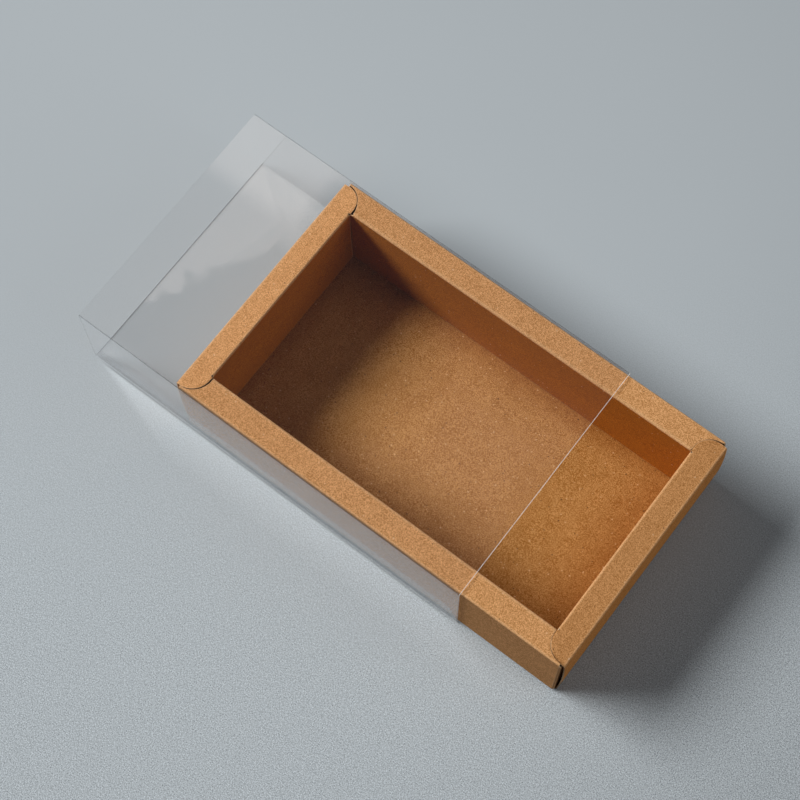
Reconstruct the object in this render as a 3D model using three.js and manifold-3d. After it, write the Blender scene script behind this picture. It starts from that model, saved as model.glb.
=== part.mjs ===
// A sliding drawer gift box: a kraft card tray with hollow walls and a framed rim,
// pulled part of the way out of a clear plastic sleeve that is open at both ends.
// Millimetres, +Z up. The tray slides along X and +X is the end it is pulled out at.
// The origin is the middle of the underside of the sleeve.
//
// Both real parts are one creased sheet. Each panel between two creases is a mesh here,
// and carries the rounded folds at its own edges, so panels meet face to face.

import * as THREE from 'three';
import { mergeVertices } from 'three/addons/utils/BufferGeometryUtils.js';
import Module from 'manifold-3d';

// Kraft card
const cardThickness = 0.45;
const cardFoldRadius = 0.7;

// Tray, folded up
const trayLength = 169;
const trayWidth = 100;
const trayHeight = 39.5;
const rimWidth = 10;
const endWallBow = 1;

// Rounded ears of the end rims, and the knife cut between an ear and a long rim
const earRadius = 7.5;
const earCut = 0.4;

// Tuck flaps at the ends of the long outer walls, folded in behind the end walls
const tuckLength = 24;
const tuckTaper = 5;
const tuckGap = 0.3;

// Foot flaps of the inner walls, turned out into the hollow of the wall
const footTaper = 6;
const footGap = 0.3;

// Clear sheet of the sleeve
const sheetThickness = 0.3;
const sheetFoldRadius = 0.8;
const sleeveOverhang = 0.8;
const glueFlapHeight = 12;
const glueFlapTaper = 4;

// Fit of the tray in the sleeve, and how far it is pulled out
const slideGap = 0.3;
const sideGap = 0.3;
const topGap = 0.65;
const pullOut = 43.5;

// Smoothness of the folds and ears, and how far a cutter stands past what it cuts
const segmentsPerArc = 6;
const cutterOverrun = 1;

// Lines of the tray, from its own middle and its own underside
const halfLength = trayLength / 2;
const halfWidth = trayWidth / 2;
const openingHalfLength = halfLength - rimWidth;
const openingHalfWidth = halfWidth - rimWidth;
const earEdge = halfWidth - cardFoldRadius - earCut;
const earCentreX = openingHalfLength + earRadius;
const earCentreY = earEdge - earRadius;
const tuckFace = halfLength - cardThickness - tuckGap;
const longWallHalfLength = tuckFace - cardFoldRadius;
const longInnerHalfLength = openingHalfLength - earCut;
const endInnerHalfWidth = openingHalfWidth - earCut;

// Lines of the sleeve
const sleeveLength = trayLength + 2 * sleeveOverhang;
const sleeveWidth = trayWidth + 2 * sideGap + 3 * sheetThickness;
const sleeveHeight = trayHeight + slideGap + topGap + 2 * sheetThickness;
const trayOffsetY = sheetThickness / 2;

const alongX = new THREE.Vector3(1, 0, 0);
const alongY = new THREE.Vector3(0, 1, 0);
const alongZ = new THREE.Vector3(0, 0, 1);

const wasm = await Module();
wasm.setup();

const kraft = () => new THREE.MeshStandardMaterial({ color: 0xc99560, roughness: 0.88, metalness: 0 });

const clearPlastic = () => new THREE.MeshStandardMaterial({
  color: 0xeef3f5,
  roughness: 0.08,
  metalness: 0,
  transparent: true,
  opacity: 0.22,
  side: THREE.DoubleSide,
});

function namedMesh(name, geometry, material) {
  const mesh = new THREE.Mesh(geometry, material);
  mesh.name = name;
  return mesh;
}

// Solids for joins and cuts

function toSolid(geometry) {
  const bare = geometry.index ? geometry.toNonIndexed() : geometry.clone();
  bare.deleteAttribute('normal');
  bare.deleteAttribute('uv');
  const welded = mergeVertices(bare);
  return new wasm.Manifold(new wasm.Mesh({
    numProp: 3,
    vertProperties: new Float32Array(welded.attributes.position.array),
    triVerts: new Uint32Array(welded.index.array),
  }));
}

function toGeometry(solid) {
  const { vertProperties, triVerts } = solid.getMesh();
  const geometry = new THREE.BufferGeometry();
  geometry.setAttribute('position', new THREE.BufferAttribute(vertProperties, 3));
  geometry.setIndex(new THREE.BufferAttribute(triVerts, 1));
  geometry.computeVertexNormals();
  return geometry;
}

function extruded(shape, depth) {
  return new THREE.ExtrudeGeometry(shape, {
    depth,
    bevelEnabled: false,
    curveSegments: segmentsPerArc,
  });
}

// A flat panel with a quarter-round fold at each end, as a cross-section. x is 0 on the
// face outside the folds and grows to the side they turn to. y runs across the panel.
// A bow swells the flat part outward by that much at its middle.
function foldedSection({ span, thickness, radius, bow }) {
  const reach = span / 2 - radius;
  const innerRadius = radius - thickness;
  const shape = new THREE.Shape();
  const flat = (x, toY) => {
    if (bow) shape.quadraticCurveTo(x - 2 * bow, 0, x, toY);
    else shape.lineTo(x, toY);
  };
  shape.moveTo(radius, -span / 2);
  shape.absarc(radius, -reach, radius, -Math.PI / 2, Math.PI, true);
  flat(0, reach);
  shape.absarc(radius, reach, radius, Math.PI, Math.PI / 2, true);
  shape.lineTo(radius, span / 2 - thickness);
  shape.absarc(radius, reach, innerRadius, Math.PI / 2, Math.PI, false);
  flat(thickness, -reach);
  shape.absarc(radius, -reach, innerRadius, Math.PI, -Math.PI / 2, false);
  shape.closePath();
  return shape;
}

// A folded panel of this length. Its outer face passes through the point `at`, its folds
// turn towards `inward`, and its cross-section runs along `across`.
function foldedPanel(name, material, section, length, at, inward, across) {
  const geometry = extruded(foldedSection(section), length);
  geometry.translate(0, 0, -length / 2);
  const mesh = namedMesh(name, geometry, material);
  const lengthwise = new THREE.Vector3().crossVectors(inward, across);
  mesh.setRotationFromMatrix(new THREE.Matrix4().makeBasis(inward, across, lengthwise));
  mesh.position.copy(at);
  return mesh;
}

const cardSection = (span, bow = 0) => ({
  span,
  bow,
  thickness: cardThickness,
  radius: cardFoldRadius,
});

const sheetSection = (span) => ({
  span,
  bow: 0,
  thickness: sheetThickness,
  radius: sheetFoldRadius,
});

// A flat card panel lying level, its underside at this height
function levelCard(name, shape, underside, turn) {
  const mesh = namedMesh(name, extruded(shape, cardThickness), kraft());
  mesh.position.z = underside;
  mesh.rotation.z = turn;
  return mesh;
}

function rectangle(halfX, halfY) {
  const shape = new THREE.Shape();
  shape.moveTo(-halfX, -halfY);
  shape.lineTo(halfX, -halfY);
  shape.lineTo(halfX, halfY);
  shape.lineTo(-halfX, halfY);
  shape.closePath();
  return shape;
}

// A flap on a crease at y = from, drawn in at both ends towards its free edge at y = to
function taperedFlap(halfCrease, taper, from, to) {
  const shape = new THREE.Shape();
  shape.moveTo(-halfCrease, from);
  shape.lineTo(halfCrease, from);
  shape.lineTo(halfCrease - taper, to);
  shape.lineTo(-halfCrease + taper, to);
  shape.closePath();
  return shape;
}

// Rim of the long side at +Y. Each end is a hollow cut that follows the ear it meets,
// one knife cut away from it, and runs out to a point on the outer crease.
function longRimShape() {
  const creaseIn = openingHalfWidth + cardFoldRadius;
  const creaseOut = halfWidth - cardFoldRadius;
  const cutRadius = earRadius + earCut;
  const sweep = Math.asin((creaseOut - earCentreY) / cutRadius);
  const tipX = earCentreX - cutRadius * Math.cos(sweep);
  const shape = new THREE.Shape();
  shape.moveTo(-longInnerHalfLength, creaseIn);
  shape.lineTo(longInnerHalfLength, creaseIn);
  shape.lineTo(longInnerHalfLength, earCentreY);
  shape.absarc(earCentreX, earCentreY, cutRadius, Math.PI, Math.PI - sweep, true);
  shape.lineTo(-tipX, creaseOut);
  shape.absarc(-earCentreX, earCentreY, cutRadius, sweep, 0, true);
  shape.closePath();
  return shape;
}

// Rim of the end at +X. It runs across the whole end and finishes in a rounded ear at
// both sides. The notch at its inner edge takes the fold down into the inner wall.
function endRimShape() {
  const creaseIn = openingHalfLength + cardFoldRadius;
  const creaseOut = halfLength - cardFoldRadius;
  const shape = new THREE.Shape();
  shape.moveTo(creaseOut, -earEdge);
  shape.lineTo(creaseOut, earEdge);
  shape.lineTo(earCentreX, earEdge);
  shape.absarc(earCentreX, earCentreY, earRadius, Math.PI / 2, Math.PI, false);
  shape.lineTo(openingHalfLength, openingHalfWidth);
  shape.lineTo(creaseIn, openingHalfWidth);
  shape.lineTo(creaseIn, -openingHalfWidth);
  shape.lineTo(openingHalfLength, -openingHalfWidth);
  shape.absarc(earCentreX, -earCentreY, earRadius, Math.PI, 1.5 * Math.PI, false);
  shape.closePath();
  return shape;
}

// Cross-section, seen from above, of the tuck flap in the corner at +X, +Y: the upright
// fold at the end of the long outer wall and the flap behind the end wall
function tuckSection() {
  const foldY = halfWidth - cardFoldRadius;
  const innerRadius = cardFoldRadius - cardThickness;
  const shape = new THREE.Shape();
  shape.moveTo(longWallHalfLength, halfWidth);
  shape.absarc(longWallHalfLength, foldY, cardFoldRadius, Math.PI / 2, 0, true);
  shape.lineTo(tuckFace, halfWidth - tuckLength);
  shape.lineTo(tuckFace - cardThickness, halfWidth - tuckLength);
  shape.lineTo(tuckFace - cardThickness, foldY);
  shape.absarc(longWallHalfLength, foldY, innerRadius, 0, Math.PI / 2, false);
  shape.closePath();
  return shape;
}

// A three-sided bar along X that trims one free corner of the tuck flap
function tuckCornerCutter(halfHeight, side) {
  const freeEdge = halfWidth - tuckLength;
  const shape = new THREE.Shape();
  const tip = side * halfHeight;
  const shoulder = side * (halfHeight - tuckTaper);
  const beyond = side * (halfHeight + cutterOverrun);
  shape.moveTo(freeEdge - cutterOverrun, shoulder);
  shape.lineTo(freeEdge, shoulder);
  shape.lineTo(freeEdge + tuckTaper, tip);
  shape.lineTo(freeEdge + tuckTaper, beyond);
  shape.lineTo(freeEdge - cutterOverrun, beyond);
  shape.closePath();
  const bar = extruded(shape, cardThickness + 2 * cutterOverrun);
  bar.applyMatrix4(new THREE.Matrix4().makeBasis(alongY, alongZ, alongX));
  bar.translate(tuckFace - cardThickness - cutterOverrun, 0, 0);
  return toSolid(bar);
}

function tuckFlapGeometry() {
  const halfHeight = trayHeight / 2 - cardThickness - tuckGap;
  const upright = extruded(tuckSection(), 2 * halfHeight);
  upright.translate(0, 0, -halfHeight);
  let flap = toSolid(upright);
  for (const side of [1, -1]) flap = flap.subtract(tuckCornerCutter(halfHeight, side));
  return toGeometry(flap);
}

// The same flap turned into each corner. It is alike top and bottom, so a half turn about
// a level axis gives the opposite hand.
function addTuckFlaps(tray) {
  const corners = [
    ['tray_front_far_tuck_flap', null],
    ['tray_front_near_tuck_flap', alongX],
    ['tray_back_far_tuck_flap', alongY],
    ['tray_back_near_tuck_flap', alongZ],
  ];
  for (const [name, axis] of corners) {
    const flap = namedMesh(name, tuckFlapGeometry(), kraft());
    if (axis) flap.rotateOnAxis(axis, Math.PI);
    flap.position.z = trayHeight / 2;
    tray.add(flap);
  }
}

// One long side: outer wall, rim, inner wall and foot flap. sign is 1 at +Y, -1 at -Y.
function addLongSide(tray, name, sign) {
  const turn = sign > 0 ? 0 : Math.PI;
  const outward = alongY.clone().multiplyScalar(sign);
  const inward = outward.clone().negate();
  const outerAt = new THREE.Vector3(0, sign * halfWidth, trayHeight / 2);
  const innerSpan = trayHeight - cardThickness;
  const innerAt = new THREE.Vector3(0, sign * openingHalfWidth, cardThickness + innerSpan / 2);
  const footFrom = openingHalfWidth + cardFoldRadius;
  const footTo = halfWidth - cardThickness - footGap;
  tray.add(foldedPanel(`tray_${name}_outer_wall`, kraft(), cardSection(trayHeight),
    2 * longWallHalfLength, outerAt, inward, alongZ));
  tray.add(levelCard(`tray_${name}_rim`, longRimShape(), trayHeight - cardThickness, turn));
  tray.add(foldedPanel(`tray_${name}_inner_wall`, kraft(), cardSection(innerSpan),
    2 * longInnerHalfLength, innerAt, outward, alongZ));
  tray.add(levelCard(`tray_${name}_foot_flap`,
    taperedFlap(longInnerHalfLength, footTaper, footFrom, footTo), cardThickness, turn));
}

// One end: bowed outer wall, eared rim, inner wall and foot flap. sign is 1 at +X.
function addEnd(tray, name, sign) {
  const turn = sign > 0 ? 0 : Math.PI;
  const outward = alongX.clone().multiplyScalar(sign);
  const inward = outward.clone().negate();
  const outerAt = new THREE.Vector3(sign * halfLength, 0, trayHeight / 2);
  const innerSpan = trayHeight - cardThickness;
  const innerAt = new THREE.Vector3(sign * openingHalfLength, 0, cardThickness + innerSpan / 2);
  const footFrom = openingHalfLength + cardFoldRadius;
  const footTo = tuckFace - cardThickness - footGap;
  tray.add(foldedPanel(`tray_${name}_outer_wall`, kraft(), cardSection(trayHeight, endWallBow),
    2 * earEdge, outerAt, inward, alongZ));
  tray.add(levelCard(`tray_${name}_rim`, endRimShape(), trayHeight - cardThickness, turn));
  tray.add(foldedPanel(`tray_${name}_inner_wall`, kraft(), cardSection(innerSpan),
    2 * endInnerHalfWidth, innerAt, outward, alongZ));
  tray.add(levelCard(`tray_${name}_foot_flap`,
    taperedFlap(endInnerHalfWidth, footTaper, footFrom, footTo), cardThickness,
    turn - Math.PI / 2));
}

function makeTray() {
  const tray = new THREE.Group();
  const base = rectangle(halfLength - cardFoldRadius, halfWidth - cardFoldRadius);
  tray.add(levelCard('tray_base', base, 0, 0));
  addLongSide(tray, 'near', -1);
  addLongSide(tray, 'far', 1);
  addEnd(tray, 'front', 1);
  addEnd(tray, 'back', -1);
  addTuckFlaps(tray);
  tray.position.set(pullOut, trayOffsetY, sheetThickness + slideGap);
  return tray;
}

// An upright clear panel: its outline in X and Z, extruded by one sheet in Y from this face
function uprightSheet(name, shape, faceY) {
  const geometry = extruded(shape, sheetThickness);
  geometry.applyMatrix4(new THREE.Matrix4().makeBasis(alongX, alongZ, alongY.clone().negate()));
  geometry.translate(0, faceY, 0);
  return namedMesh(name, geometry, clearPlastic());
}

function sidePanelShape(bottom, top) {
  const shape = new THREE.Shape();
  shape.moveTo(-sleeveLength / 2, bottom);
  shape.lineTo(sleeveLength / 2, bottom);
  shape.lineTo(sleeveLength / 2, top);
  shape.lineTo(-sleeveLength / 2, top);
  shape.closePath();
  return shape;
}

// The sleeve is wrapped from one sheet. The bottom ends in a flap that is folded up and
// glued inside the near side, so the bottom is one sheet narrower than the top.
function makeSleeve() {
  const sleeve = new THREE.Group();
  const halfSleeve = sleeveWidth / 2;
  const topCrease = sleeveHeight - sheetFoldRadius;
  const down = alongZ.clone().negate();
  sleeve.add(foldedPanel('sleeve_top', clearPlastic(), sheetSection(sleeveWidth),
    sleeveLength, new THREE.Vector3(0, 0, sleeveHeight), down, alongY));
  sleeve.add(foldedPanel('sleeve_bottom', clearPlastic(),
    sheetSection(sleeveWidth - sheetThickness), sleeveLength,
    new THREE.Vector3(0, sheetThickness / 2, 0), alongZ, alongY));
  sleeve.add(uprightSheet('sleeve_far_side', sidePanelShape(sheetFoldRadius, topCrease), halfSleeve));
  sleeve.add(uprightSheet('sleeve_near_side', sidePanelShape(sheetThickness, topCrease),
    sheetThickness - halfSleeve));
  const flap = taperedFlap(sleeveLength / 2, glueFlapTaper, sheetFoldRadius, glueFlapHeight);
  sleeve.add(uprightSheet('sleeve_glue_flap', flap, 2 * sheetThickness - halfSleeve));
  return sleeve;
}

const giftBox = new THREE.Group();
giftBox.add(makeSleeve());
giftBox.add(makeTray());

export default giftBox;
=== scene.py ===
"""A sliding drawer gift box: a kraft card tray, pulled part of the way out of a clear
plastic sleeve that is open at both ends.

Lengths of the tray and the sleeve are in millimetres. Those of the finishes, the studio and
the finished meshes are in metres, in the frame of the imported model. The tray slides along X,
near is -Y and front is +X.
"""

import logging
import math
from dataclasses import dataclass, field, replace
from enum import Enum
from typing import Callable, Iterable, Sequence, Union

import bmesh
import bpy
from mathutils import Matrix, Vector


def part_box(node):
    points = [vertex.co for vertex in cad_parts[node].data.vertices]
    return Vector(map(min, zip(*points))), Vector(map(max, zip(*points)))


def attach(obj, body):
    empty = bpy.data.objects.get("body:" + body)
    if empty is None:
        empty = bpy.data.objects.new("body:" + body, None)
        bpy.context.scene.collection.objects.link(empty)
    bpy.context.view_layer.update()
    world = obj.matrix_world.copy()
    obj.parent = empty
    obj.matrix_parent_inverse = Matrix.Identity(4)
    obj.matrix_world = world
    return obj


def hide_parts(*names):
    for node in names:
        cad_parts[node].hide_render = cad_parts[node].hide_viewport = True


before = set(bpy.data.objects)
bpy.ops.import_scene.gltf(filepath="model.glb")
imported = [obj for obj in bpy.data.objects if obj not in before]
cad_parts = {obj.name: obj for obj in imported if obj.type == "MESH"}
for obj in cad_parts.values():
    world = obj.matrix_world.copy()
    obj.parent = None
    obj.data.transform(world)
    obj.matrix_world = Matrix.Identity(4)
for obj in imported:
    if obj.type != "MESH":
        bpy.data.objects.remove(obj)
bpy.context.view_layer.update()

log = logging.getLogger("gift_box")

MILLIMETRE = 0.001
SHARP_ANGLE = math.radians(40.0)
Colour = tuple[float, float, float]
Number = Union[int, float]


# Node trees

def operator(operation: str, turned: bool = False) -> Callable[["Wire", "Value"], "Wire"]:
    """Makes an operator of Wire.

    Args:
        operation: What its Math node does.
        turned: Whether the wire is the second input, as in 1 - mask.

    Returns:
        The operator's method.
    """
    def method(self: "Wire", other: "Value") -> "Wire":
        """The output of the operator's Math node."""
        return self.math(operation, *((other, self) if turned else (self, other)))
    return method


class Wire:
    """An output socket that Python's operators turn into Math nodes."""

    __add__ = operator("ADD")
    __radd__ = operator("ADD", turned=True)
    __sub__ = operator("SUBTRACT")
    __rsub__ = operator("SUBTRACT", turned=True)
    __mul__ = operator("MULTIPLY")
    __rmul__ = operator("MULTIPLY", turned=True)
    __truediv__ = operator("DIVIDE")
    __pow__ = operator("POWER")
    __lt__ = operator("LESS_THAN")
    __gt__ = operator("GREATER_THAN")

    def __init__(self, graph: "Graph", socket: bpy.types.NodeSocket) -> None:
        """Wraps the socket of a node in this graph."""
        self.graph = graph
        self.socket = socket

    def math(self, operation: str, *values: "Value", clamp: bool = False) -> "Wire":
        """Adds a Math node.

        Args:
            operation: The node's operation.
            values: Its inputs, in order.
            clamp: Whether the result is kept from 0 to 1.

        Returns:
            The node's output.
        """
        settings = {"operation": operation, "use_clamp": clamp}
        return self.graph.wire("ShaderNodeMath", settings, dict(enumerate(values)))

    def __neg__(self) -> "Wire":
        """The value with the other sign."""
        return self * -1.0

    def __abs__(self) -> "Wire":
        """The value without its sign."""
        return self.math("ABSOLUTE", self)

    def root(self) -> "Wire":
        """The square root."""
        return self.math("SQRT", self)

    def floored(self) -> "Wire":
        """The whole number below the value."""
        return self.math("FLOOR", self)

    def capped(self, most: "Value") -> "Wire":
        """The value, or this number where the value is greater."""
        return self.math("MINIMUM", self, most)

    def clamped(self) -> "Wire":
        """The value kept from 0 to 1."""
        return self.math("ADD", self, 0.0, clamp=True)

    def ramp(self, low: "Value", high: "Value") -> "Wire":
        """0 below low, 1 above high and a smooth step between, also with low above high.

        Args:
            low: Where the step starts.
            high: Where it ends.

        Returns:
            The step, from 0 to 1.
        """
        settings = {"interpolation_type": "SMOOTHSTEP"}
        inputs = {"Value": self, "From Min": low, "From Max": high}
        return self.graph.wire("ShaderNodeMapRange", settings, inputs, "Result")


Value = Union[Wire, Number]


@dataclass(frozen=True)
class Noise:
    """Settings of a noise texture.

    Attributes:
        scale: How many features it has in each unit of its coordinates.
        detail: How many finer layers lie over the first one.
        roughness: How strongly the finer layers show.
        distortion: How far it is warped.
    """

    scale: float
    detail: float = 2.0
    roughness: float = 0.5
    distortion: float = 0.0


@dataclass(frozen=True)
class Stretch:
    """How coordinates are stretched and turned, for a texture with a direction of its own."""

    scale: tuple[float, float, float]
    turn: tuple[float, float, float] = (0.0, 0.0, 0.0)


class Graph:
    """Adds nodes and links to a shader or geometry node tree."""

    def __init__(self, tree: bpy.types.NodeTree) -> None:
        """Starts on a tree, which is emptied first."""
        self.tree = tree
        tree.nodes.clear()

    def node(self, kind: str, settings: dict | None = None,
             inputs: dict | None = None) -> bpy.types.Node:
        """Adds one node.

        Args:
            kind: The node's type.
            settings: Its properties, set before any socket.
            inputs: Values or wires by socket name or number.

        Returns:
            The node.
        """
        node = self.tree.nodes.new(kind)
        for name, value in (settings or {}).items():
            setattr(node, name, value)
        for key, value in (inputs or {}).items():
            socket = node.inputs[key]
            if isinstance(value, Wire):
                self.tree.links.new(value.socket, socket)
            else:
                socket.default_value = value
        return node

    def wire(self, kind: str, settings: dict | None = None, inputs: dict | None = None,
             output: str | int = 0) -> Wire:
        """Adds one node and returns the named or numbered output as a wire."""
        return Wire(self, self.node(kind, settings, inputs).outputs[output])

    def parts(self, vector: Wire) -> list[Wire]:
        """The X, Y and Z of a vector."""
        node = self.node("ShaderNodeSeparateXYZ", {}, {"Vector": vector})
        return [Wire(self, socket) for socket in node.outputs]

    def moved(self, vector: Wire, offset: Wire | Sequence[float]) -> Wire:
        """The sum of two vectors."""
        inputs = {0: vector, 1: offset}
        return self.wire("ShaderNodeVectorMath", {"operation": "ADD"}, inputs)

    def scaled(self, colour: Wire | Colour, amount: Value) -> Wire:
        """A colour or vector times a number."""
        inputs = {0: colour, "Scale": amount}
        return self.wire("ShaderNodeVectorMath", {"operation": "SCALE"}, inputs)

    def stretched(self, place: Wire, stretch: Stretch) -> Wire:
        """Coordinates turned and stretched by a Mapping node."""
        inputs = {"Vector": place, "Scale": stretch.scale, "Rotation": stretch.turn}
        return self.wire("ShaderNodeMapping", {}, inputs)

    def mix(self, share: Value, first: Wire | Colour, second: Wire | Colour,
            blend: str = "MIX") -> Wire:
        """Mixes two colours with a Mix node.

        Args:
            share: How much of the second colour shows.
            first: The first colour.
            second: The second colour.
            blend: How the second goes over the first.

        Returns:
            The mixed colour.
        """
        settings = {"data_type": "RGBA", "blend_type": blend, "clamp_factor": True}
        colours = [c if isinstance(c, Wire) else (*c, 1.0) for c in (first, second)]
        inputs = {0: share, 6: colours[0], 7: colours[1]}
        return self.wire("ShaderNodeMix", settings, inputs, 2)

    def noise(self, place: Wire, noise: Noise) -> Wire:
        """Noise from 0 to 1."""
        inputs = {"Vector": place, "Scale": noise.scale, "Detail": noise.detail,
                  "Roughness": noise.roughness, "Distortion": noise.distortion}
        return self.wire("ShaderNodeTexNoise", {}, inputs, "Fac")

    def swing(self, place: Wire, noise: Noise) -> Wire:
        """Noise to both sides of 0."""
        return self.noise(place, noise) - 0.5

    def bump(self, height: Wire, strength: float, depth: float) -> Wire:
        """A normal that follows a height, which counts for this depth in metres."""
        inputs = {"Strength": strength, "Distance": depth, "Height": height}
        return self.wire("ShaderNodeBump", {}, inputs)

    def attribute(self, name: str) -> Wire:
        """A number that the mesh holds under this name, or 0 on a mesh without it."""
        return self.wire("ShaderNodeAttribute", {"attribute_name": name}, {}, "Fac")

    def flag(self, name: str) -> Wire:
        """A yes or no that the geometry holds under this name."""
        return self.wire("GeometryNodeInputNamedAttribute", {"data_type": "BOOLEAN"},
                         {"Name": name})

    def rays(self, *kinds: str) -> list[Wire]:
        """For each kind of ray, 1 where such a ray is traced, else 0."""
        path = self.node("ShaderNodeLightPath")
        return [Wire(self, path.outputs[f"Is {kind} Ray"]) for kind in kinds]


# Finishes

@dataclass(frozen=True)
class Finish:
    """A material, whose surface each kind of finish builds in its own way."""

    name: str

    def material(self) -> bpy.types.Material:
        """Builds the material.

        Returns:
            The material.
        """
        material = bpy.data.materials.new(self.name)
        material.use_nodes = True
        graph = Graph(material.node_tree)
        place = graph.wire("ShaderNodeTexCoord", {}, {}, "Object")
        graph.node("ShaderNodeOutputMaterial", {}, {"Surface": self.surface(graph, place)})
        return material

    def surface(self, graph: Graph, place: Wire) -> Wire:
        """Builds the nodes of the surface.

        Args:
            graph: The material's tree.
            place: The coordinates of the surface, in metres.

        Returns:
            The shader.
        """
        raise NotImplementedError


class Mark(Enum):
    """Numbers that the folded meshes hold for their finish, each from 0 to 1."""

    FOLD = "fold"
    CUT = "cut"
    # Painted shade: the darker, more saturated colour taken on by the faces inside the tray, part
    # of the front end and the base next to its walls.
    INSIDE = "inside"


@dataclass(frozen=True)
class Specks:
    """Small spots of another colour, scattered through the pulp of the card.

    Attributes:
        cover_share: How far the spots hide the card.
        filled_share: The share of the pattern's cells that hold a spot.
        soft_edge: How far the spots' edges fade to either side.
    """

    colour: Colour
    cover_share: float
    spacing: float
    radius: float
    offset: float
    filled_share: float = 0.5
    soft_edge: float = 0.00006

    def mask(self, graph: Graph, place: Wire) -> Wire:
        """Builds the spots' mask.

        Args:
            graph: The tree that takes the nodes.
            place: The coordinates, in metres.

        Returns:
            1 in a spot and 0 outside.
        """
        shifted = graph.moved(place, (self.offset,) * 3)
        cells = graph.node("ShaderNodeTexVoronoi", {"feature": "F1"},
                           {"Vector": shifted, "Scale": 1.0 / self.spacing})
        distance = Wire(graph, cells.outputs["Distance"]) * self.spacing
        pick = graph.wire("ShaderNodeSeparateColor", {},
                          {0: Wire(graph, cells.outputs["Color"])})
        size = pick.ramp(1.0 - self.filled_share, 1.0) * self.radius
        return (distance - size).ramp(self.soft_edge, -self.soft_edge)


@dataclass(frozen=True)
class PulpShares:
    """How strongly each part of the pulp counts in the tone or in the relief of the card."""

    mottle: float
    grain: float
    fibres: float
    dust: float = 0.0
    specks: float = 0.0


@dataclass(frozen=True)
class Rubbing:
    """How a marked line of the card pales.

    Attributes:
        even_share: What counts all along it.
        mottled_share: What comes and goes with the mottle.
        share: How far the line takes on the colour of cut card.
    """

    even_share: float
    mottled_share: float
    share: float


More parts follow.
